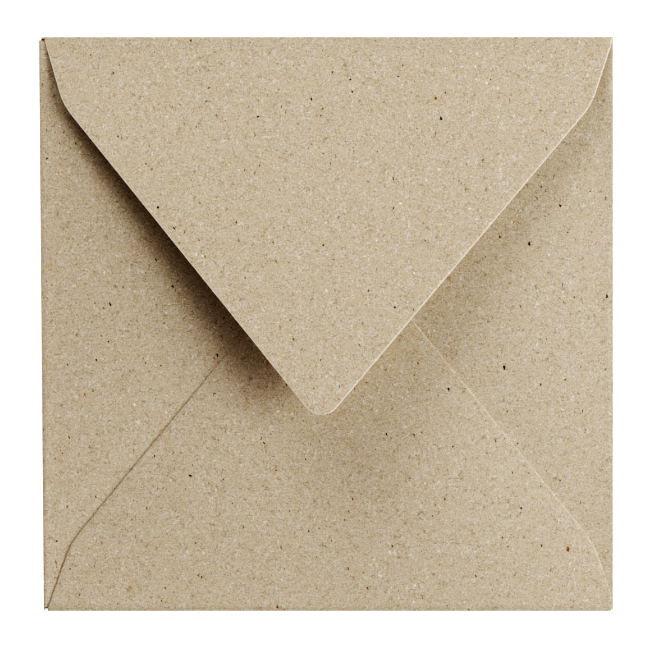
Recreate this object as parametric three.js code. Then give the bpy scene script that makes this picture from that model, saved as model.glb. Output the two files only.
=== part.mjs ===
// A square kraft envelope, lying on its front with its closure flap folded over.
// Units are millimetres. +X is right, +Y is towards the fold of the closure flap, +Z is up.
// The origin is the centre of the face that the envelope lies on.
// One sheet of paper is folded round a front panel. Its flaps bow up into a shallow pocket.

import * as THREE from 'three';

// Driving dimensions of the folded envelope
const envelope_width = 155;
const envelope_height = 155;
const paper = 0.18;
// How far the foot of the left edge stands in, because that fold runs slightly out of square
const left_fold_skew = 1.3;

// Inner radius of the side folds, and the free height that glue or air takes between two layers
const side_fold_radius = 0.35;
const layer_gap = 0.12;
// Bare length left at each end of a fold, where the corner of the sheet is notched
const side_fold_notch = 0.35;
const bottom_fold_notch = 1.2;
const flap_fold_notch = 0.4;

// The bowed pocket: its height at the crest, where the crest lies, and how softly it leaves a fold
const pocket_rise = 4.4;
const pocket_crest_y = 12;
const fold_ease = 3;

// The two pointed flaps. The point depth is where their straight edges would meet, past the rounded
// tip, and the inset at the shoulder is how far those edges are from the side of the envelope there
const closure_point_depth = 105.2;
const closure_shoulder_inset = 6.1;
const bottom_point_depth = 104.7;
const bottom_shoulder_inset = 6.8;
const flap_root_inset = 0.4;
const shoulder_distance = 18.5;
const shoulder_rounding = 1.6;
const tip_radius = 5.6;
// How far each flap stands to the right of the middle at its fold and at its tip
const closure_fold_shift = 0.7;
const closure_tip_shift = -1.3;
const bottom_fold_shift = 1.4;
const bottom_tip_shift = 2.1;
// The closure flap springs up straight from its fold, by so many degrees
const closure_flap_lift = 10;

// The side flaps, whose tips stop short of the middle under the bottom flap
const side_tip_gap = 1.4;
const side_flap_root = 0.8;
const side_tip_radius = 6;

// Adhesive
const glue_thickness = 0.06;
const glue_width = 4;
const glue_inset = 1.5;
const glue_length = 62;
const glue_start = 24;
const gum_width = 12;
const gum_inset = 3;
const gum_thickness = 0.04;
const gum_gap = 0.06;
const gum_start = 24;

// Facets, closer together where a sheet leaves its fold
const bottom_columns = 12;
const side_columns = 12;
const fold_segments = 8;
const glue_rows = 12;
const gum_rows = 20;
const gum_columns = 5;
const row_pitch = 6;
const fold_grading = 1.6;
const row_grading = 1.3;
const tip_steps = 5;
const tip_flat = 0.03;

const kraft_back = { color: 0xbfa985, roughness: 0.86, metalness: 0 };
const kraft_flap = { color: 0xc7b79e, roughness: 0.86, metalness: 0 };
const kraft_front = { color: 0xbcaa8c, roughness: 0.86, metalness: 0 };
const dry_glue = { color: 0xd9cda9, roughness: 0.5, metalness: 0 };
const dry_gum = { color: 0xd8c9a0, roughness: 0.35, metalness: 0 };

// Sizes that follow from them
const half_width = envelope_width / 2;
const half_height = envelope_height / 2;
const side_outer = side_fold_radius + paper;
const wrap_radius = side_fold_radius + (paper + layer_gap) / 2;
const wrap_outer = wrap_radius + paper;
const side_height = paper + 2 * side_fold_radius;
const wrap_height = paper + 2 * wrap_radius;
const top_hinge_y = half_height - wrap_outer;
const bottom_hinge_y = -top_hinge_y;
const crest_span = pocket_crest_y + half_height;

// Distance from a fold, eased so that a surface built on it leaves the fold level
function eased(distance) {
  return Math.sqrt(distance * distance + fold_ease * fold_ease) - fold_ease;
}

// The smaller of two values, with the corner between them rounded
function smoothMin(a, b, rounding) {
  const share = Math.min(Math.max(0.5 + (a - b) / (2 * rounding), 0), 1);
  return a + (b - a) * share - rounding * share * (1 - share);
}

// Where the folds at the left and right start to turn, at height y on the envelope
function leftHingeX(y) {
  return -half_width + left_fold_skew * (half_height - y) / envelope_height + side_outer;
}

function rightHingeX() {
  return half_width - side_outer;
}

// Height of the bowed pocket above its folds
function pocketBow(x, y) {
  const left = eased(Math.max(x - leftHingeX(y), 0));
  const right = eased(Math.max(rightHingeX() - x, 0));
  const full = eased((rightHingeX() - leftHingeX(y)) / 2);
  const across = Math.min(left, right) / full;
  const along = eased(Math.max(y - bottom_hinge_y, 0)) / eased(crest_span - wrap_outer);
  const bowAcross = 1 - (1 - across) ** 2;
  const bowAlong = 1 - (1 - along) ** 2;
  return pocket_rise * bowAcross * bowAlong;
}

function sideUnderside(x, y) {
  return side_height + pocketBow(x, y);
}

function bottomUnderside(x, y) {
  return wrap_height + pocketBow(x, y);
}

// The outline of a pointed flap: the slope of its straight edges, its tip and its middle line
function pointedFlap(point_depth, shoulder_inset, fold_shift, tip_shift) {
  const slope = (half_width - shoulder_inset) / (point_depth - shoulder_distance);
  const half_apex = Math.atan(slope);
  const depth = point_depth - tip_radius * (1 / Math.sin(half_apex) - 1);
  const round_length = tip_radius * (1 - Math.sin(half_apex));
  const middleAt = (distance) => fold_shift + (tip_shift - fold_shift) * distance / depth;
  return { point_depth, shoulder_inset, slope, half_apex, depth, round_length, middleAt };
}

const closure = pointedFlap(
  closure_point_depth, closure_shoulder_inset, closure_fold_shift, closure_tip_shift,
);
const bottom = pointedFlap(
  bottom_point_depth, bottom_shoulder_inset, bottom_fold_shift, bottom_tip_shift,
);

// Underside of the closure flap, the same all the way across
function closureUnderside(y) {
  const lift = Math.tan(THREE.MathUtils.degToRad(closure_flap_lift));
  return wrap_height + lift * eased(top_hinge_y - y);
}

// Half the width of a pointed flap at a distance from its fold
function halfWidthOf(flap, distance) {
  const from_tip = flap.depth - distance;
  if (from_tip < flap.round_length) {
    return Math.sqrt(Math.max(tip_radius ** 2 - (tip_radius - from_tip) ** 2, 0));
  }
  const root_slope = (flap.shoulder_inset - flap_root_inset) / shoulder_distance;
  const root_line = half_width - flap_root_inset - root_slope * distance;
  const point_line = flap.slope * (flap.point_depth - distance);
  return smoothMin(root_line, point_line, shoulder_rounding);
}

// Left and right edges of the two pointed flaps at y, where side is -1 or 1
function closureEdge(side, y) {
  const distance = half_height - y;
  const edge = closure.middleAt(distance) + side * halfWidthOf(closure, distance);
  const limit = half_width - flap_fold_notch;
  return Math.min(Math.max(edge, -limit), limit);
}

function bottomEdge(side, y) {
  const distance = half_height + y;
  const edge = bottom.middleAt(distance) + side * halfWidthOf(bottom, distance);
  const limit = half_width - flap_fold_notch;
  return Math.min(Math.max(edge, leftHingeX(y) + bottom_fold_notch), limit);
}

// Inner edge of a side flap, with a rounded tip at the middle of its fold
const side_flap_end = top_hinge_y - side_fold_notch;

function sideHingeX(side, y) {
  return side < 0 ? leftHingeX(y) : rightHingeX();
}

function sideInnerX(side, y) {
  const depth = Math.abs(side * side_tip_gap - sideHingeX(side, 0));
  const rounded = (length) => Math.sqrt(length ** 2 + side_tip_radius ** 2) - side_tip_radius;
  const share = rounded(y) / rounded(side_flap_end);
  return sideHingeX(side, y) - side * (depth - (depth - side_flap_root) * share);
}

// Values from one end to the other, both included, even or closer together at the start
function spread(from, to, count, grading = 1) {
  return Array.from({ length: count + 1 }, (_, i) => from + (to - from) * (i / count) ** grading);
}

// Rows of a pointed flap, as distances from its fold: closer at the fold and round the tip
function flapRows(flap) {
  const straight_end = flap.depth - flap.round_length;
  const count = Math.ceil((straight_end - wrap_outer) / row_pitch);
  const rows = spread(wrap_outer, straight_end, count, row_grading);
  for (let step = tip_steps - 1; step >= 0; step -= 1) {
    rows.push(flap.depth - Math.max(flap.round_length * (step / tip_steps) ** 2, tip_flat));
  }
  return rows;
}

// A closed solid between two grids of points with the same rows and columns
function solidBetween(lower, upper) {
  const rows = lower.length;
  const columns = lower[0].length;
  const points = [...lower.flat(), ...upper.flat()];
  const index = [];
  const at = (layer, row, column) => (layer * rows + row) * columns + column;
  const quad = (a, b, c, d) => index.push(a, b, c, a, c, d);
  const last_row = rows - 1;
  const last_column = columns - 1;
  for (let r = 0; r < last_row; r += 1) {
    for (let c = 0; c < last_column; c += 1) {
      quad(at(1, r, c), at(1, r, c + 1), at(1, r + 1, c + 1), at(1, r + 1, c));
      quad(at(0, r, c), at(0, r + 1, c), at(0, r + 1, c + 1), at(0, r, c + 1));
    }
    quad(at(0, r, 0), at(1, r, 0), at(1, r + 1, 0), at(0, r + 1, 0));
    quad(at(0, r, last_column), at(0, r + 1, last_column), at(1, r + 1, last_column), at(1, r, last_column));
  }
  for (let c = 0; c < last_column; c += 1) {
    quad(at(0, 0, c), at(0, 0, c + 1), at(1, 0, c + 1), at(1, 0, c));
    quad(at(0, last_row, c), at(1, last_row, c), at(1, last_row, c + 1), at(0, last_row, c + 1));
  }
  const geometry = new THREE.BufferGeometry();
  geometry.setAttribute('position', new THREE.Float32BufferAttribute(points.flat(), 3));
  geometry.setIndex(facingOut(points, index));
  geometry.computeVertexNormals();
  return geometry;
}

// Turns every face over where the faces enclose a negative volume
function facingOut(points, index) {
  let volume = 0;
  for (let i = 0; i < index.length; i += 3) {
    const [a, b, c] = [0, 1, 2].map((k) => new THREE.Vector3(...points[index[i + k]]));
    volume += a.dot(b.cross(c));
  }
  if (volume > 0) {
    return index;
  }
  return index.map((_, i) => index[i - (i % 3) + 2 - (i % 3)]);
}

// A solid of even thickness on a grid of points on its underside
function thickened(lower, thickness) {
  return solidBetween(lower, lower.map((row) => row.map(([x, y, z]) => [x, y, z + thickness])));
}

// A sheet over the rows, from one edge to the other, with an underside and a thickness
function sheet(rows, fromX, toX, columns, undersideAt, thickness, grading = 1) {
  const line = (y) => spread(fromX(y), toX(y), columns, grading);
  return thickened(rows.map((y) => line(y).map((x) => [x, y, undersideAt(x, y)])), thickness);
}

// Half a tube of paper along a fold: from its two end points, bulging outwards from the envelope
function foldStrip(from, to, outwards, innerRadius) {
  const outer = innerRadius + paper;
  const ring = (radius) => [from, to].map(([x, y]) => (
    spread(-Math.PI / 2, Math.PI / 2, fold_segments).map((angle) => [
      x + outwards[0] * radius * Math.cos(angle),
      y + outwards[1] * radius * Math.cos(angle),
      outer + radius * Math.sin(angle),
    ])
  ));
  return solidBetween(ring(innerRadius), ring(outer));
}

function named(name, geometry, finish) {
  const mesh = new THREE.Mesh(geometry, new THREE.MeshStandardMaterial({ ...finish }));
  mesh.name = name;
  return mesh;
}

function frontPanel() {
  const rows = [bottom_hinge_y, top_hinge_y];
  return named('front_panel', sheet(rows, leftHingeX, rightHingeX, 1, () => 0, paper), kraft_front);
}

function sideFold(side) {
  const ends = [-side_flap_end, side_flap_end].map((y) => [sideHingeX(side, y), y]);
  const strip = foldStrip(...ends, [side, 0], side_fold_radius);
  return named(side < 0 ? 'left_fold' : 'right_fold', strip, kraft_back);
}

function sideFlap(side) {
  const rows = spread(-side_flap_end, side_flap_end, 2 * Math.ceil(side_flap_end / row_pitch));
  const edges = [(y) => sideHingeX(side, y), (y) => sideInnerX(side, y)];
  const solid = sheet(rows, ...edges, side_columns, sideUnderside, paper, fold_grading);
  return named(side < 0 ? 'left_side_flap' : 'right_side_flap', solid, kraft_back);
}

function bottomFold() {
  const y = bottom_hinge_y;
  const strip = foldStrip([bottomEdge(-1, y), y], [bottomEdge(1, y), y], [0, -1], wrap_radius);
  return named('bottom_fold', strip, kraft_back);
}

function bottomFlap() {
  const rows = flapRows(bottom).map((distance) => distance - half_height);
  const edges = [-1, 1].map((side) => (y) => bottomEdge(side, y));
  const solid = sheet(rows, ...edges, bottom_columns, bottomUnderside, paper);
  return named('bottom_flap', solid, kraft_back);
}

function flapFold() {
  const y = top_hinge_y;
  const strip = foldStrip([closureEdge(-1, y), y], [closureEdge(1, y), y], [0, 1], wrap_radius);
  return named('flap_fold', strip, kraft_flap);
}

function closureFlap() {
  const rows = flapRows(closure).map((distance) => half_height - distance);
  const edges = [-1, 1].map((side) => (y) => closureEdge(side, y));
  const solid = sheet(rows, ...edges, 1, (x, y) => closureUnderside(y), paper);
  return named('closure_flap', solid, kraft_flap);
}

// The V of dry gum under the edges of the closure flap, from the left shoulder round to the right
function flapGum() {
  const gumPoint = (side, share, inset) => {
    const meeting = closure.point_depth - inset / Math.sin(closure.half_apex);
    const distance = gum_start + (meeting - gum_start) * share;
    const x = closure.middleAt(distance) + side * closure.slope * (meeting - distance);
    const y = half_height - distance;
    return [x, y, closureUnderside(y) - gum_gap - gum_thickness];
  };
  const lower = spread(-1, 1, 2 * gum_rows).map((station) => (
    spread(gum_inset, gum_inset + gum_width, gum_columns).map((inset) => (
      gumPoint(Math.sign(station), 1 - Math.abs(station), inset)
    ))
  ));
  return named('flap_gum', thickened(lower, gum_thickness), dry_gum);
}

// A line of glue between a side flap and the edge of the bottom flap over it
function seamGlue(side) {
  const foot = glue_start - half_height;
  const rows = spread(foot, foot + glue_length, glue_rows);
  const outer = (y) => bottomEdge(side, y) - side * glue_inset;
  const inner = (y) => outer(y) - side * glue_width;
  const underside = (x, y) => sideUnderside(x, y) + paper + (layer_gap - glue_thickness) / 2;
  const solid = sheet(rows, outer, inner, 1, underside, glue_thickness);
  return named(side < 0 ? 'left_seam_glue' : 'right_seam_glue', solid, dry_glue);
}

const parts = new THREE.Group();
parts.add(frontPanel());
for (const side of [-1, 1]) {
  parts.add(sideFold(side), sideFlap(side), seamGlue(side));
}
parts.add(bottomFold(), bottomFlap());
parts.add(flapFold(), closureFlap(), flapGum());

export default parts;
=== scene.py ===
import math

import bpy
import numpy as np
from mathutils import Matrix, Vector, noise


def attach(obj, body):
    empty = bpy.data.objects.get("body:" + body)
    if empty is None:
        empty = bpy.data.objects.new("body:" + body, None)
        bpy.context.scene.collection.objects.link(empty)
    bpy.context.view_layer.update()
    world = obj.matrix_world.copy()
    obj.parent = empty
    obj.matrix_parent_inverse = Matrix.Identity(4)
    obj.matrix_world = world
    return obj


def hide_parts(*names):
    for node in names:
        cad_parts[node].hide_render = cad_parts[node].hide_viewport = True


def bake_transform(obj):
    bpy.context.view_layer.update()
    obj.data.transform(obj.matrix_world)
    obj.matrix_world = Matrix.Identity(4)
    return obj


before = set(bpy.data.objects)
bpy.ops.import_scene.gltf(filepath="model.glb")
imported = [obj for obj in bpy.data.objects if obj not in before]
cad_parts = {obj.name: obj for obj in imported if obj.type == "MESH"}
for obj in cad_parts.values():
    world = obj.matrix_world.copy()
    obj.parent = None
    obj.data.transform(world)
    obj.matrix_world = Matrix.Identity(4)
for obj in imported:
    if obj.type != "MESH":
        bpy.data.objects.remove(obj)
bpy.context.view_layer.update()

# A square kraft envelope lying on its front, with its closure flap folded over.
# Sizes are in millimetres up to the mesh, which is written in metres.
METRE = 0.001

# The folded envelope, as in the frame
envelope_width = 155.0
envelope_height = 155.0
paper = 0.18
left_fold_skew = 1.3
side_fold_radius = 0.35
layer_gap = 0.12
side_fold_notch = 0.35
flap_fold_notch = 0.4

# The ends of the folds fill the corners further than the frame's folds do
bottom_fold_notch = 0.2
side_fold_foot = 77.2
right_fold_head = 76.8
flap_fold_ends = (-76.8, 77.4)

pocket_rise = 4.4
pocket_crest_y = 12.0
fold_ease = 3.0

closure_point_depth = 105.2
closure_shoulder_inset = 6.1
bottom_point_depth = 104.7
bottom_shoulder_inset = 6.8
flap_root_inset = 0.4
shoulder_distance = 18.5
shoulder_rounding = 1.6
tip_radius = 5.6
closure_fold_shift = 0.7
closure_tip_shift = -1.3
bottom_fold_shift = 1.4
bottom_tip_shift = 2.1

closure_flap_lift = 10.0

side_tip_gap = 1.4
side_flap_root = 0.8
side_tip_radius = 6.0

glue_thickness = 0.06
glue_width = 4.0
glue_inset = 1.5
glue_length = 62.0
glue_start = 24.0
gum_width = 12.0
gum_inset = 3.0
gum_thickness = 0.04
# The gum lies nearer the flap than the frame's 0.06
gum_gap = 0.01
gum_start = 24.0

# The finer form of the paper: its slow waves, and the turned-down lip along a cut edge
wave_height = 0.16
wave_length = 30.0
ripple_height = 0.03
ripple_length = 9.0
own_wave_height = 0.1
wave_fade = 9.0
# Where in the noise each set of waves is taken from
pocket_wave_layer = 11.0
ripple_layer = 23.0
own_wave_layer = 70.0
closure_lip = 0.07
bottom_lip = 0.09
lip_width = 0.45
# How much narrower the drawn flaps are on each side, as measured from the photo
closure_trim = 0.18
bottom_trim = {-1: 0.36, 1: 0.08}
bottom_bevel = 0.04

# Painted shading: factors that draw the left side flap and fold lighter and the right ones darker
# than the other pieces, standing in for how the light falls on them; fitted to the photo
side_tone = {-1: 1.045, 1: 0.945}

# The pieces lie apart on one wide texture: how wide a step is, and how many steps along each lies
texture_step = 200.0
texture_layer = {
    "front_panel": 0.0, "left_fold": 2.0, "right_fold": 4.0, "left_side_flap": 7.0,
    "right_side_flap": 9.0, "bottom_fold": 13.0, "bottom_flap": 17.0, "flap_fold": 21.0,
    "closure_flap": 27.0, "flap_gum": 33.0, "left_seam_glue": 36.0, "right_seam_glue": 38.0,
}

# Mesh steps
mesh_pitch = 1.5
fold_steps = 16
lip_steps = (0.0, 0.1, 0.22, 0.45, 0.9)
tip_rows = 12
tip_flat = 0.03
edge_bevel = 0.08
bevel_angle = 50.0
gum_rows = 90
gum_columns = 8

# Sizes that follow from them
half_width = envelope_width / 2
half_height = envelope_height / 2
side_outer = side_fold_radius + paper
wrap_radius = side_fold_radius + (paper + layer_gap) / 2
wrap_outer = wrap_radius + paper
side_height = paper + 2 * side_fold_radius
wrap_height = paper + 2 * wrap_radius
top_hinge_y = half_height - wrap_outer
bottom_hinge_y = -top_hinge_y
crest_span = pocket_crest_y + half_height
side_flap_end = top_hinge_y - side_fold_notch
side_word = {-1: "left", 1: "right"}


def eased(distance):
    return np.sqrt(distance * distance + fold_ease * fold_ease) - fold_ease


def smooth_min(a, b, rounding):
    share = np.clip(0.5 + (a - b) / (2 * rounding), 0, 1)
    return a + (b - a) * share - rounding * share * (1 - share)


def left_hinge_x(y):
    return -half_width + left_fold_skew * (half_height - y) / envelope_height + side_outer


def right_hinge_x(y):
    return np.full_like(y, half_width - side_outer)


def side_hinge_x(side, y):
    return left_hinge_x(y) if side < 0 else right_hinge_x(y)


def pocket_bow(x, y):
    """Height of the bowed pocket above its folds."""
    left = eased(np.maximum(x - left_hinge_x(y), 0))
    right = eased(np.maximum(right_hinge_x(y) - x, 0))
    full = eased((right_hinge_x(y) - left_hinge_x(y)) / 2)
    across = np.minimum(left, right) / full
    along = eased(np.maximum(y - bottom_hinge_y, 0)) / eased(crest_span - wrap_outer)
    return pocket_rise * (1 - (1 - across) ** 2) * (1 - (1 - along) ** 2)


def side_underside(x, y):
    return side_height + pocket_bow(x, y) + pocket_wave(x, y)


def bottom_underside(x, y):
    return wrap_height + pocket_bow(x, y) + pocket_wave(x, y)


class PointedFlap:
    """The outline of a flap that narrows to a rounded tip."""

    def __init__(self, point_depth, shoulder_inset, fold_shift, tip_shift):
        self.point_depth = point_depth
        self.shoulder_inset = shoulder_inset
        self.fold_shift = fold_shift
        self.tip_shift = tip_shift
        self.slope = (half_width - shoulder_inset) / (point_depth - shoulder_distance)
        self.half_apex = math.atan(self.slope)
        self.depth = point_depth - tip_radius * (1 / math.sin(self.half_apex) - 1)
        self.round_length = tip_radius * (1 - math.sin(self.half_apex))

    def middle(self, distance):
        return self.fold_shift + (self.tip_shift - self.fold_shift) * distance / self.depth

    def half_width(self, distance):
        from_tip = self.depth - distance
        tip = np.sqrt(np.maximum(tip_radius ** 2 - (tip_radius - from_tip) ** 2, 0))
        root_slope = (self.shoulder_inset - flap_root_inset) / shoulder_distance
        root_line = half_width - flap_root_inset - root_slope * distance
        point_line = self.slope * (self.point_depth - distance)
        body = smooth_min(root_line, point_line, shoulder_rounding)
        return np.where(from_tip < self.round_length, tip, body)

    def rows(self):
        """Distances from the fold, closing in round the tip."""
        straight_end = self.depth - self.round_length
        count = math.ceil((straight_end - wrap_outer) / mesh_pitch)
        steps = np.arange(tip_rows - 1, -1, -1) / tip_rows
        tip = self.depth - tip_flat - (self.round_length - tip_flat) * steps ** 2
        return np.concatenate([np.linspace(wrap_outer, straight_end, count + 1), tip])


closure = PointedFlap(
    closure_point_depth, closure_shoulder_inset, closure_fold_shift, closure_tip_shift)
bottom = PointedFlap(
    bottom_point_depth, bottom_shoulder_inset, bottom_fold_shift, bottom_tip_shift)


def closure_underside(x, y):
    fade = 1 - np.exp(-(top_hinge_y - y) / wave_fade)
    own = own_wave_height * waves(x, y, wave_length, own_wave_layer) * fade
    lift = math.tan(math.radians(closure_flap_lift))
    return wrap_height + lift * eased(top_hinge_y - y) + own + pocket_wave(x, y)


def closure_edge(side, y):
    distance = half_height - y
    edge = closure.middle(distance) + side * (closure.half_width(distance) - closure_trim)
    limit = half_width - flap_fold_notch
    return np.clip(edge, -limit, limit)


def bottom_edge(side, y):
    distance = half_height + y
    edge = bottom.middle(distance) + side * (bottom.half_width(distance) - bottom_trim[side])
    left_limit = left_hinge_x(y) + bottom_fold_notch
    return np.clip(edge, left_limit, right_hinge_x(y) - bottom_fold_notch / 2)


def side_inner_x(side, y):
    depth = np.abs(side * side_tip_gap - side_hinge_x(side, np.zeros_like(y)))
    share = side_rounded(y) / side_rounded(side_flap_end)
    return side_hinge_x(side, y) - side * (depth - (depth - side_flap_root) * share)


def side_rounded(length):
    return np.sqrt(length ** 2 + side_tip_radius ** 2) - side_tip_radius


def waves(x, y, length, layer):
    """Smooth noise from about -1 to 1 over the sheet, in waves of that length."""
    x, y = np.broadcast_arrays(x, y)
    flat = [noise.noise(Vector((a / length, b / length, layer)))
            for a, b in zip(x.ravel(), y.ravel())]
    return np.array(flat).reshape(x.shape)


def pocket_wave(x, y):
    """The waves that all layers share, which die out at the folds."""
    to_side = np.minimum(x - left_hinge_x(y), right_hinge_x(y) - x)
    to_end = np.minimum(y - bottom_hinge_y, top_hinge_y - y)
    nearest = np.maximum(np.minimum(to_side, to_end), 0)
    fade = 1 - np.exp(-nearest / wave_fade)
    slow = wave_height * waves(x, y, wave_length, pocket_wave_layer)
    return fade * (slow + ripple_height * waves(x, y, ripple_length, ripple_layer))


# Meshes

def write_mesh(name, points, faces, places, cut, tone):
    """A smooth mesh object. Its points carry their place on the flat sheet, how far they are cut
    edge, and a factor of painted shading for their paper."""
    mesh = bpy.data.meshes.new(name)
    mesh.from_pydata((points * METRE).tolist(), [], faces)
    sheet_place = mesh.attributes.new("sheet", "FLOAT_VECTOR", "POINT")
    sheet_place.data.foreach_set("vector", places.ravel())
    for key, values in (("cut", cut.ravel()), ("tone", np.full(len(points), tone))):
        mesh.attributes.new(key, "FLOAT", "POINT").data.foreach_set("value", values)
    mesh.shade_smooth()
    mesh.update()
    obj = bpy.data.objects.new(name, mesh)
    bpy.context.scene.collection.objects.link(obj)
    return obj


def grid_faces(rows, columns):
    """Faces of a closed solid between two grids of points: lower grid first, then upper."""
    index = np.arange(2 * rows * columns).reshape(2, rows, columns)
    faces = []
    for layer in (0, 1):
        a, b = index[layer, :-1, :-1], index[layer, :-1, 1:]
        c, d = index[layer, 1:, 1:], index[layer, 1:, :-1]
        faces.append(np.stack([a, b, c, d] if layer else [a, d, c, b], -1).reshape(-1, 4))
    low, high = index
    rims = ((low[0], high[0]), (low[:, -1], high[:, -1]),
            (low[-1, ::-1], high[-1, ::-1]), (low[::-1, 0], high[::-1, 0]))
    for foot, head in rims:
        faces.append(np.stack([foot[:-1], foot[1:], head[1:], head[:-1]], -1))
    return np.concatenate(faces)


def outward(points, faces):
    """Turns every face over where they enclose a negative volume."""
    a, b, c, d = (points[faces[:, k]] for k in range(4))
    volume = np.sum(a * np.cross(b, c)) + np.sum(a * np.cross(c, d))
    return faces if volume > 0 else faces[:, ::-1]


def solid(name, lower, upper, places, cut, layer, round_edge=edge_bevel, tone=1.0):
    """A closed solid between two grids. Each side has its own place on one wide texture."""
    points = np.concatenate([lower.reshape(-1, 3), upper.reshape(-1, 3)])
    faces = outward(points, grid_faces(*lower.shape[:2]))
    flat = np.column_stack([places.reshape(-1, 2), np.zeros(points.shape[0] // 2)])
    under = flat + [layer * texture_step, 0, 0]
    over = flat + [layer * texture_step, texture_step, 0]
    obj = write_mesh(
        name, points, faces.tolist(), np.concatenate([under, over]), np.tile(cut.ravel(), 2), tone)
    bevel = obj.modifiers.new("cut_edge", "BEVEL")
    bevel.width = round_edge * METRE
    bevel.segments = 2
    bevel.limit_method = "ANGLE"
    bevel.angle_limit = math.radians(bevel_angle)
    return obj


def across(left, right, count, cut_left, cut_right):
    """Places across each row: at fixed distances from a cut edge, and even between them."""
    width = (right - left)[:, None]
    lip = np.array(lip_steps)[None, :] * np.minimum(1, width / (3 * lip_steps[-1]))
    start = lip if cut_left else np.zeros_like(width)
    end = lip if cut_right else np.zeros_like(width)
    inner = np.linspace(0, 1, count + 1)[None, 1:-1]
    room = width - start[:, -1:] - end[:, -1:]
    middle = start[:, -1:] + room * inner
    return left[:, None] + np.concatenate([start, middle, (width - end)[:, ::-1]], 1)


def edge_distance(x, y, cut_left, cut_right):
    """Distance of each point from the nearest cut edge, square to that edge."""
    distance = np.full_like(x, envelope_width)
    for is_cut, column in ((cut_left, 0), (cut_right, -1)):
        if is_cut:
            slope = np.gradient(x[:, column], y[:, 0])[:, None]
            to_edge = np.abs(x - x[:, column][:, None]) / np.sqrt(1 + slope ** 2)
            distance = np.minimum(distance, to_edge)
    return distance


def sheet(name, y, left, right, underside, layer, cuts=(True, True), thickness=paper, droop=0.0,
          **looks):
    """A sheet of paper over the rows y, from edge to edge. Its cut edges turn down by droop."""
    count = max(4, math.ceil(np.max(right - left) / mesh_pitch))
    x = across(left, right, count, *cuts)
    rows = np.broadcast_to(y[:, None], x.shape)
    from_edge = edge_distance(x, rows, *cuts)
    lip = np.clip(1 - from_edge / lip_width, 0, 1)
    height = underside(x, rows) - droop * lip ** 2
    lower = np.stack([x, rows, height], -1)
    upper = np.stack([x, rows, height + thickness], -1)
    return solid(name, lower, upper, np.stack([x, rows], -1), lip, layer, **looks)


def fold_strip(name, start, end, outwards, inner_radius, layer, tone=1.0):
    """Half a tube of paper along a fold."""
    outer_radius = inner_radius + paper
    count = max(2, math.ceil(math.dist(start, end) / mesh_pitch))
    along = np.linspace(0, 1, count + 1)[:, None]
    angle = np.linspace(-math.pi / 2, math.pi / 2, fold_steps + 1)[None, :]
    base_x = start[0] + (end[0] - start[0]) * along
    base_y = start[1] + (end[1] - start[1]) * along

    def ring(radius):
        x = base_x + outwards[0] * radius * np.cos(angle)
        y = base_y + outwards[1] * radius * np.cos(angle)
        z = outer_radius + radius * np.sin(angle) + 0 * along
        return np.stack([x, y, z], -1)

    arc = outer_radius * (angle + math.pi / 2)
    places = np.stack([base_x + outwards[0] * arc, base_y + outwards[1] * arc], -1)
    cut = np.zeros(places.shape[:2])
    return solid(name, ring(inner_radius), ring(outer_radius), places, cut, layer, tone=tone)


# Materials. Colours are linear, and lengths in them are in millimetres of paper
flap_light = (0.647, 0.545, 0.418, 1)
flap_dark = (0.403, 0.341, 0.27, 1)
# Painted light: the back and front pieces use the flap's kraft, drawn a little lighter and with a
# narrower spread to offset the shade that falls on them
back_light_with_painted_lift = (0.641, 0.544, 0.421, 1)
back_dark_with_painted_lift = (0.438, 0.373, 0.297, 1)
ochre = (0.46, 0.365, 0.25, 1)
pale_fibre = (0.766, 0.71, 0.623, 1)
bark = (0.17, 0.1, 0.05, 1)
warm_pulp = (0.535, 0.45, 0.338, 1)
grey_pulp = (0.579, 0.541, 0.501, 1)
bark_fibre = (0.262, 0.205, 0.15, 1)
white_fleck = (0.82, 0.77, 0.69, 1)
rust = (0.455, 0.3, 0.15, 1)
# Pale cut edge colour: partly the lighter fibres of a cut edge, partly a painted highlight
pale_cut_and_highlight = (0.86, 0.8, 0.71, 1)
dark_speck = (0.05, 0.03, 0.018, 1)
brown_speck = (0.28, 0.15, 0.045, 1)
black_speck = (0.045, 0.028, 0.02, 1)
# The larger specks, and where in a random value from 0 to 1 each colour starts
rare_specks = (
    (0.0, (0.03, 0.022, 0.018, 1)), (0.42, (0.03, 0.05, 0.11, 1)), (0.58, (0.75, 0.68, 0.55, 1)),
    (0.76, (0.3, 0.1, 0.07, 1)), (0.83, (0.48, 0.26, 0.13, 1)), (0.88, (0.58, 0.48, 0.24, 1)),
    (0.93, (0.1, 0.34, 0.42, 1)), (0.97, (0.42, 0.22, 0.24, 1)),
)
# The curved fibres: where in the noise they are taken from, their colour and their strength
fibre_strands = ((60.0, bark_fibre, 0.55), (71.0, bark_fibre, 0.5), (83.0, pale_fibre, 0.5))
# The straight fibres: their directions in radians, and how much longer than wide they are
fibre_turns = (0.2, 0.9, 1.6, 2.3, 2.9)
fibre_stretch = 7.0
# The darkest and lightest factor of the fine grain
fine_shade = (0.71, 1.285)
kraft_roughness = (0.78, 0.92)
grain_depth = 0.00006
streak_depth = 0.00003


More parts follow.
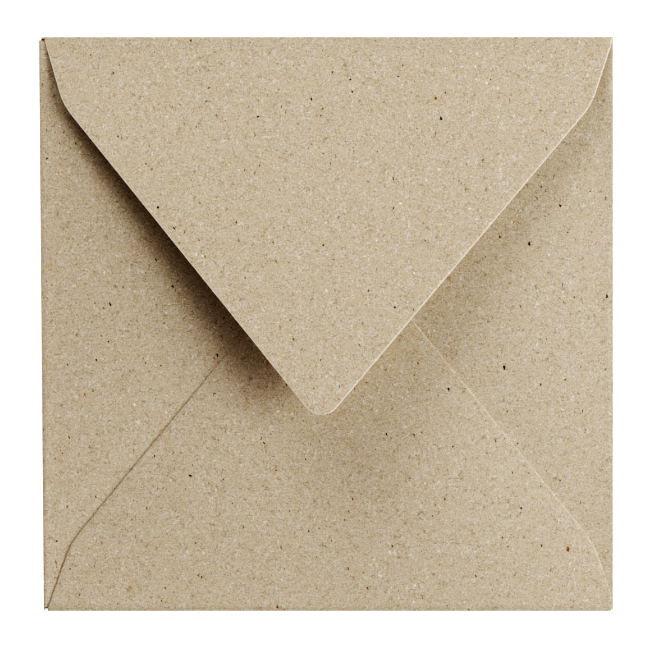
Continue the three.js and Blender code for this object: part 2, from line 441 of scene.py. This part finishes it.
class Nodes:
    """Adds nodes to a material and joins them."""

    def __init__(self, name):
        self.material = bpy.data.materials.new(name)
        self.material.use_nodes = True
        self.tree = self.material.node_tree
        self.shader = self.tree.nodes["Principled BSDF"]

    def add(self, kind, inputs=(), **settings):
        node = self.tree.nodes.new(kind)
        for key, value in settings.items():
            setattr(node, key, value)
        for key, value in dict(inputs).items():
            self.put(node.inputs[key], value)
        return node

    def put(self, socket, value):
        if isinstance(value, bpy.types.NodeSocket):
            self.tree.links.new(value, socket)
        else:
            socket.default_value = value

    def math(self, operation, a, b=0.0):
        return self.add("ShaderNodeMath", {0: a, 1: b}, operation=operation).outputs[0]

    def ramp(self, value, low, high, to_low=0.0, to_high=1.0):
        inputs = {
            "Value": value, "From Min": low, "From Max": high, "To Min": to_low, "To Max": to_high}
        return self.add("ShaderNodeMapRange", inputs).outputs["Result"]

    def mix(self, share, a, b):
        return self.add("ShaderNodeMix", {0: share, 6: a, 7: b}, data_type="RGBA").outputs[2]

    def vector(self, operation, a, b):
        inputs = {0: a, "Scale" if operation == "SCALE" else 1: b}
        return self.add("ShaderNodeVectorMath", inputs, operation=operation).outputs[0]

    def attribute(self, name, output="Fac"):
        return self.add("ShaderNodeAttribute", attribute_name=name).outputs[output]

    def noise(self, place, scale, detail=2.0, roughness=0.5):
        inputs = {"Vector": place, "Scale": scale, "Detail": detail, "Roughness": roughness}
        return self.add("ShaderNodeTexNoise", inputs).outputs["Fac"]

    def bump(self, height, strength, distance):
        inputs = {"Height": height, "Strength": strength, "Distance": distance}
        self.put(self.shader.inputs["Normal"], self.add("ShaderNodeBump", inputs).outputs[0])

    def moved(self, place, distance):
        return self.vector("ADD", place, (distance, distance, 0.0))


def strands(nodes, place, seed):
    """Short curved fibres: thin contour lines of one noise, cut into pieces by another."""
    contour = nodes.noise(nodes.moved(place, seed), 0.6, 1.0, 0.5)
    line = nodes.ramp(nodes.math("ABSOLUTE", nodes.math("SUBTRACT", contour, 0.5)), 0.022, 0.006)
    piece = nodes.ramp(nodes.noise(nodes.moved(place, seed + 5.0), 0.5, 1.0, 0.5), 0.53, 0.57)
    return nodes.math("MULTIPLY", line, piece)


def flecks(nodes, place, scale, radius, share, seed, stretch=1.0, turn=0.0):
    """Specks, or fibres where stretched: how far each point is covered, and a random value."""
    mapping = nodes.add("ShaderNodeMapping", {
        "Vector": place, "Location": (seed, seed * 0.7, seed),
        "Rotation": (0.0, 0.0, turn), "Scale": (1.0, 1.0 / stretch, 1.0)})
    cells = nodes.add(
        "ShaderNodeTexVoronoi", {"Vector": mapping.outputs[0], "Scale": scale},
        voronoi_dimensions="2D")
    parts = nodes.add("ShaderNodeSeparateColor", {"Color": cells.outputs["Color"]})
    chosen = nodes.math("LESS_THAN", parts.outputs[0], share)
    size = nodes.ramp(nodes.math("POWER", parts.outputs[1], 2.5), 0.0, 1.0, 0.3 * radius, radius)
    depth = nodes.math("SUBTRACT", size, nodes.math("DIVIDE", cells.outputs["Distance"], scale))
    inside = nodes.ramp(depth, 0.0, 0.25 * radius)
    return nodes.math("MULTIPLY", chosen, inside), parts.outputs[2]


def speckled(nodes, colour, place, strength, shade, **spots):
    """The colour with flecks over it. Their shade is a colour, or made from a random value."""
    cover, pick = flecks(nodes, place, **spots)
    over = shade(pick) if callable(shade) else shade
    return nodes.mix(nodes.math("MULTIPLY", cover, strength), colour, over)


def pulp_colour(nodes, flat, place, pulp, light, dark):
    """The mottled ground of the paper, with warm, grey and ochre clouds and calmer patches."""
    grit = nodes.math("SUBTRACT", nodes.noise(flat, 3.1, 2.0, 0.6), 0.5)
    mottle = nodes.math("ADD", pulp, nodes.math("MULTIPLY", grit, 0.5))
    colour = nodes.mix(nodes.ramp(mottle, 0.35, 0.65), dark, light)
    tint = nodes.noise(nodes.moved(place, 40.0), 0.8, 4.0, 0.7)
    colour = nodes.mix(nodes.ramp(tint, 0.5, 0.7, 0.0, 0.6), colour, warm_pulp)
    colour = nodes.mix(nodes.ramp(tint, 0.5, 0.32, 0.0, 0.75), colour, grey_pulp)
    cloud = nodes.ramp(nodes.noise(flat, 0.22, 5.0, 0.6), 0.46, 0.72, 0.0, 0.35)
    colour = nodes.mix(cloud, colour, ochre)
    smudge = nodes.ramp(nodes.noise(place, 0.45, 4.0, 0.6), 0.58, 0.72, 0.0, 0.5)
    colour = nodes.mix(smudge, colour, ochre)
    calm = nodes.noise(nodes.moved(flat, 17.0), 0.13, 4.0, 0.7)
    calm = nodes.ramp(calm, 0.47, 0.6, 0.0, 0.55)
    return nodes.mix(calm, colour, nodes.mix(0.52, dark, light))


def fibres_and_specks(nodes, colour, place):
    """What lies in the pulp: curved and straight fibres, bark, pale chips and coloured specks."""
    for seed, shade, strength in fibre_strands:
        cover = nodes.math("MULTIPLY", strands(nodes, place, seed), strength)
        colour = nodes.mix(cover, colour, shade)

    def pale_or_ochre(pick):
        return nodes.mix(nodes.math("GREATER_THAN", pick, 0.5), pale_fibre, ochre)

    for index, turn in enumerate(fibre_turns):
        colour = speckled(
            nodes, colour, place, 0.5, pale_or_ochre, scale=0.8, radius=0.13, share=0.5,
            seed=5.0 + index, stretch=fibre_stretch, turn=turn)
    colour = speckled(
        nodes, colour, place, 0.6, bark, scale=0.4, radius=0.2, share=0.3, seed=21.0,
        stretch=3.0, turn=0.9)
    colour = speckled(
        nodes, colour, place, 0.7, white_fleck, scale=0.3, radius=0.28, share=0.3, seed=77.0,
        stretch=1.4)
    colour = speckled(
        nodes, colour, place, 0.92, lambda pick: nodes.mix(pick, dark_speck, brown_speck),
        scale=0.5, radius=0.22, share=0.24, seed=31.0, stretch=1.8, turn=0.5)
    colour = speckled(
        nodes, colour, place, 0.92, black_speck, scale=0.2, radius=0.27, share=0.15, seed=36.0,
        stretch=2.1, turn=2.2)
    blotch = nodes.noise(nodes.moved(place, 91.0), 0.34, 5.0, 0.7)
    colour = nodes.mix(nodes.ramp(blotch, 0.64, 0.72, 0.0, 0.5), colour, rust)
    return speckled(
        nodes, colour, place, 0.85, lambda pick: rare_colours(nodes, pick),
        scale=0.085, radius=0.42, share=0.45, seed=47.0, stretch=1.5, turn=1.9)


def kraft(name, light, dark, cut_highlight_share):
    """Recycled kraft paper: mottled pulp, fibres and specks, a fine grain, and pale cut edges that
    are partly the cut's own lighter fibres and partly a painted highlight.
    """
    nodes = Nodes(name)
    flat = nodes.attribute("sheet", "Vector")
    warp_inputs = {"Vector": flat, "Scale": 0.9, "Detail": 3.0}
    warp = nodes.add("ShaderNodeTexNoise", warp_inputs).outputs["Color"]
    shift = nodes.vector("SCALE", nodes.vector("SUBTRACT", warp, (0.5, 0.5, 0.5)), 1.6)
    place = nodes.vector("ADD", flat, shift)

    pulp = nodes.noise(place, 1.5, 5.0, 0.72)
    colour = pulp_colour(nodes, flat, place, pulp, light, dark)
    colour = fibres_and_specks(nodes, colour, place)

    fine = nodes.noise(nodes.moved(flat, 7.0), 2.9, 2.0, 0.6)
    fine = nodes.ramp(fine, 0.25, 0.75, *fine_shade)
    # Painted shading: the colour is scaled by the fine grain and by the piece's painted shading
    # factor
    colour = nodes.vector("SCALE", colour, nodes.math("MULTIPLY", fine, nodes.attribute("tone")))

    # The cut edges turn pale: partly the cut's lighter fibres, partly a painted highlight,
    # strongest on the closure flap
    ragged = nodes.ramp(pulp, 0.3, 0.7, 0.65 * cut_highlight_share, cut_highlight_share)
    edge = nodes.math("POWER", nodes.attribute("cut"), 1.4)
    colour = nodes.mix(nodes.math("MULTIPLY", edge, ragged), colour, pale_cut_and_highlight)
    nodes.put(nodes.shader.inputs["Base Color"], colour)

    grain = nodes.noise(flat, 4.5, 4.0)
    height = nodes.math("ADD", nodes.math("MULTIPLY", grain, 0.6), pulp)
    nodes.bump(height, 0.8, grain_depth)
    nodes.put(nodes.shader.inputs["Roughness"], nodes.ramp(grain, 0.3, 0.7, *kraft_roughness))
    nodes.shader.inputs["Specular IOR Level"].default_value = 0.25
    return nodes.material


def rare_colours(nodes, pick):
    """The colour of a larger speck, by its random value."""
    node = nodes.add("ShaderNodeValToRGB", {"Fac": pick})
    stops = node.color_ramp
    stops.interpolation = "CONSTANT"
    first, second, *others = rare_specks
    for stop, (position, colour) in zip(stops.elements, (first, second)):
        stop.position, stop.color = position, colour
    for position, colour in others:
        stops.elements.new(position).color = colour
    return node.outputs["Color"]


def adhesive(name, light, dark, rough):
    """A thin dry film with brush streaks over the paper's colour."""
    nodes = Nodes(name)
    streak = nodes.noise(nodes.attribute("sheet", "Vector"), 0.9, 4.0)
    colour = nodes.mix(nodes.ramp(streak, 0.3, 0.7), dark, light)
    nodes.put(nodes.shader.inputs["Base Color"], colour)
    roughness = nodes.ramp(streak, 0.3, 0.7, rough, rough + 0.18)
    nodes.put(nodes.shader.inputs["Roughness"], roughness)
    nodes.bump(streak, 0.25, streak_depth)
    return nodes.material


slots = {
    # The last number is how strongly the cut edges take the pale colour and its painted highlight
    "kraft_back": kraft("kraft_back", back_light_with_painted_lift, back_dark_with_painted_lift, 0.04),
    "kraft_flap": kraft("kraft_flap", flap_light, flap_dark, 1.0),
    "kraft_front": kraft("kraft_front", back_light_with_painted_lift, back_dark_with_painted_lift, 0.04),
    "dry_glue": adhesive("dry_glue", (0.6, 0.53, 0.42, 1), (0.54, 0.47, 0.37, 1), 0.42),
    "dry_gum": adhesive("dry_gum", (0.62, 0.55, 0.45, 1), (0.56, 0.49, 0.395, 1), 0.24),
}


# Pieces

def finish_piece(obj, node, slot):
    """Gives a piece its paper and puts it in the place of its node in the frame."""
    obj.data.materials.append(slots[slot])
    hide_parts(node)
    return obj


def front_panel():
    y = np.linspace(bottom_hinge_y, top_hinge_y, math.ceil(envelope_height / mesh_pitch))
    edges = (left_hinge_x(y), right_hinge_x(y))
    obj = sheet(
        "paper_front_panel", y, *edges, lambda x, rows: np.zeros_like(x),
        texture_layer["front_panel"], (False, False))
    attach(finish_piece(obj, "front_panel", "kraft_front"), "envelope")


def side_fold(side):
    node = f"{side_word[side]}_fold"
    head = side_flap_end if side < 0 else right_fold_head
    ends = [(float(side_hinge_x(side, np.array(y))), y) for y in (-side_fold_foot, head)]
    # The fold takes its side's painted shading factor
    obj = fold_strip(
        f"paper_{node}", *ends, (side, 0), side_fold_radius, texture_layer[node], side_tone[side])
    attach(finish_piece(obj, node, "kraft_back"), "envelope")


def side_flap(side):
    node = f"{side_word[side]}_side_flap"
    y = np.linspace(-side_flap_end, side_flap_end, math.ceil(2 * side_flap_end / mesh_pitch))
    outer, inner = side_hinge_x(side, y), side_inner_x(side, y)
    edges = (outer, inner) if side < 0 else (inner, outer)
    # The side flap takes its side's painted shading factor
    obj = sheet(
        f"paper_{node}", y, *edges, side_underside, texture_layer[node], (side > 0, side < 0),
        tone=side_tone[side])
    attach(finish_piece(obj, node, "kraft_back"), "envelope")


def bottom_fold():
    y = np.array(bottom_hinge_y)
    ends = [(float(bottom_edge(side, y)), bottom_hinge_y) for side in (-1, 1)]
    obj = fold_strip(
        "paper_bottom_fold", *ends, (0, -1), wrap_radius, texture_layer["bottom_fold"])
    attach(finish_piece(obj, "bottom_fold", "kraft_back"), "envelope")


def bottom_flap():
    y = bottom.rows() - half_height
    obj = sheet(
        "paper_bottom_flap", y, bottom_edge(-1, y), bottom_edge(1, y), bottom_underside,
        texture_layer["bottom_flap"], droop=bottom_lip, round_edge=bottom_bevel)
    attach(finish_piece(obj, "bottom_flap", "kraft_back"), "envelope")


def flap_fold():
    """The half tube of paper along the fold where the closure flap turns."""
    ends = [(x, top_hinge_y) for x in flap_fold_ends]
    obj = fold_strip("paper_flap_fold", *ends, (0, 1), wrap_radius, texture_layer["flap_fold"])
    finish_piece(obj, "flap_fold", "kraft_flap")
    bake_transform(obj)


def closure_flap():
    y = half_height - closure.rows()
    obj = sheet(
        "paper_closure_flap", y, closure_edge(-1, y), closure_edge(1, y), closure_underside,
        texture_layer["closure_flap"], droop=closure_lip)
    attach(finish_piece(obj, "closure_flap", "kraft_flap"), "flap")


def flap_gum():
    """The V of dry gum under the edges of the closure flap."""
    station = np.linspace(-1, 1, 2 * gum_rows + 1)[:, None]
    inset = np.linspace(gum_inset, gum_inset + gum_width, gum_columns + 1)[None, :]
    meeting = closure.point_depth - inset / math.sin(closure.half_apex)
    distance = gum_start + (meeting - gum_start) * (1 - np.abs(station))
    x = closure.middle(distance) + np.sign(station) * closure.slope * (meeting - distance)
    y = half_height - distance
    z = closure_underside(x, y) - gum_gap - gum_thickness
    lower = np.stack([x, y, z], -1)
    upper = np.stack([x, y, z + gum_thickness], -1)
    obj = solid(
        "gum_closure_flap", lower, upper, np.stack([x, y], -1), np.zeros_like(x),
        texture_layer["flap_gum"])
    obj.modifiers.clear()
    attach(finish_piece(obj, "flap_gum", "dry_gum"), "flap")


def seam_glue(side):
    """The strip of dry glue between a side flap and the edge of the bottom flap."""
    word = side_word[side]
    foot = glue_start - half_height
    y = np.linspace(foot, foot + glue_length, math.ceil(glue_length / mesh_pitch))
    outer = bottom_edge(side, y) - side * glue_inset
    inner = outer - side * glue_width
    edges = (outer, inner) if side < 0 else (inner, outer)

    def underside(x, rows):
        return side_underside(x, rows) + paper + (layer_gap - glue_thickness) / 2

    obj = sheet(
        f"glue_{word}_seam", y, *edges, underside, texture_layer[f"{word}_seam_glue"],
        (False, False), glue_thickness)
    obj.modifiers.clear()
    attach(finish_piece(obj, f"{word}_seam_glue", "dry_glue"), "envelope")


front_panel()
for side in (-1, 1):
    side_fold(side)
    side_flap(side)
    seam_glue(side)
bottom_fold()
bottom_flap()
flap_fold()
closure_flap()
flap_gum()


# Floor, light and camera

table_reach = 3.0
table_depth = 0.0001
table_glow = 0.9
sky = 0.01
light_distance = 1.1
# Azimuth from +X towards +Y and elevation in degrees, size in metres, power in watts, colour
soft_lights = {
    "key_light": (-7, 28.5, (0.85, 0.8), 17.3, (1.0, 1.0, 1.0)),
    "top_light": (111, 20, (0.9, 0.4), 9.7, (1.0, 1.0, 1.0)),
    "fill_light": (236, 39, (0.9, 0.6), 3.4, (1.0, 0.97, 1.0)),
}
# The camera looks straight down. View centre, view width and distance are in millimetres
view_centre = (-0.31, -0.31)
view_width = 175.3
camera_distance = 6000.0
white_level = 0.978
# The contrast curve of the picture, as pairs of linear brightness before and after it
contrast = (
    (0.096, 0.005), (0.126, 0.015), (0.152, 0.03), (0.177, 0.05), (0.222, 0.1),
    (0.270, 0.17), (0.321, 0.25), (0.380, 0.34), (0.429, 0.41), (0.520, 0.52),
)
# Where the curve for red, green and blue together is in Blender's list of curves
all_channels = 3


def floor():
    """The pale table. It glows a little, so that it comes out as white as in the photo."""
    nodes = Nodes("pale_table")
    grain = nodes.noise(nodes.add("ShaderNodeTexCoord").outputs["Object"], 40.0)
    colour = nodes.mix(nodes.ramp(grain, 0.3, 0.7), (0.9, 0.9, 0.9, 1), (0.93, 0.93, 0.93, 1))
    nodes.put(nodes.shader.inputs["Base Color"], colour)
    nodes.put(nodes.shader.inputs["Roughness"], nodes.ramp(grain, 0.3, 0.7, 0.7, 0.8))
    nodes.shader.inputs["Emission Color"].default_value = (1, 1, 1, 1)
    nodes.shader.inputs["Emission Strength"].default_value = table_glow
    low, high = -table_reach, table_reach
    mesh = bpy.data.meshes.new("table_top")
    corners = [(low, low, 0), (high, low, 0), (high, high, 0), (low, high, 0)]
    mesh.from_pydata(corners, [], [(0, 1, 2, 3)])
    mesh.materials.append(nodes.material)
    obj = bpy.data.objects.new("table_top", mesh)
    obj.location.z = -table_depth
    bpy.context.scene.collection.objects.link(obj)


def soft_light(name, azimuth, elevation, size, power, colour):
    """A soft light that looks at the envelope."""
    data = bpy.data.lights.new(name, "AREA")
    data.shape = "RECTANGLE"
    data.size, data.size_y = size
    data.energy = power
    data.color = colour
    obj = bpy.data.objects.new(name, data)
    turn, rise = math.radians(azimuth), math.radians(elevation)
    across_table = math.cos(rise)
    place = Vector((math.cos(turn) * across_table, math.sin(turn) * across_table, math.sin(rise)))
    obj.location = place * light_distance
    obj.rotation_euler = place.to_track_quat("Z", "Y").to_euler()
    bpy.context.scene.collection.objects.link(obj)


def camera():
    data = bpy.data.cameras.new("camera")
    data.lens = data.sensor_width * camera_distance / view_width
    obj = bpy.data.objects.new("camera", data)
    obj.location = (view_centre[0] * METRE, view_centre[1] * METRE, camera_distance * METRE)
    bpy.context.scene.collection.objects.link(obj)
    bpy.context.scene.camera = obj


def studio():
    """A nearly black world, so that the soft lights alone shape the envelope."""
    world = bpy.data.worlds.new("studio")
    world.use_nodes = True
    background = world.node_tree.nodes["Background"]
    background.inputs["Color"].default_value = (1, 1, 1, 1)
    background.inputs["Strength"].default_value = sky
    bpy.context.scene.world = world


def picture_settings():
    """The picture's white level and contrast curve."""
    view = bpy.context.scene.view_settings
    view.view_transform = "Standard"
    view.use_curve_mapping = True
    view.curve_mapping.white_level = (white_level, white_level, white_level)
    curve = view.curve_mapping.curves[all_channels]
    for before, after in contrast:
        curve.points.new(before, after)
    for point in curve.points:
        point.handle_type = "AUTO_CLAMPED"
    view.curve_mapping.update()


floor()
for name, settings in soft_lights.items():
    soft_light(name, *settings)
camera()
studio()
picture_settings()
